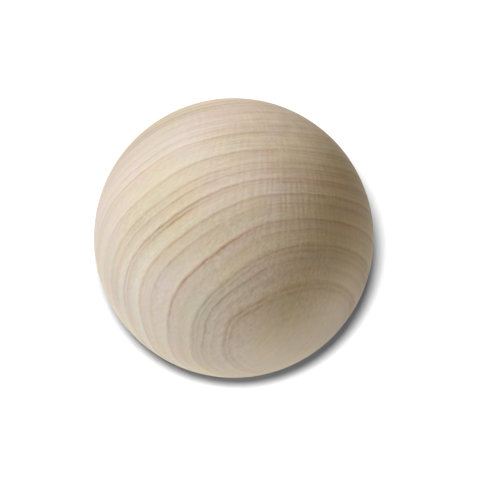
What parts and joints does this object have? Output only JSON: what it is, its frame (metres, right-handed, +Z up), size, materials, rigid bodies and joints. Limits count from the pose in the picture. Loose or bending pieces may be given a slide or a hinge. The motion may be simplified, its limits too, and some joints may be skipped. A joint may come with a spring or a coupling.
{
  "type": "wooden ball",
  "caption": "Solid round ball turned from one piece of pale bare wood, sanded smooth, with no hole or flat. For craft work, display, knobs and turning blanks.",
  "frame": {"origin": "centre of the ball", "axes": "+Z up; the ball is the same about every axis"},
  "size_m": [0.05, 0.05, 0.05],
  "materials": {
    "bare_wood": "turned and sanded smooth, left bare with no stain or varnish, fine growth rings and rays showing"
  },
  "bodies": {
    "root": {"ball": "bare_wood"}
  },
  "joints": []
}
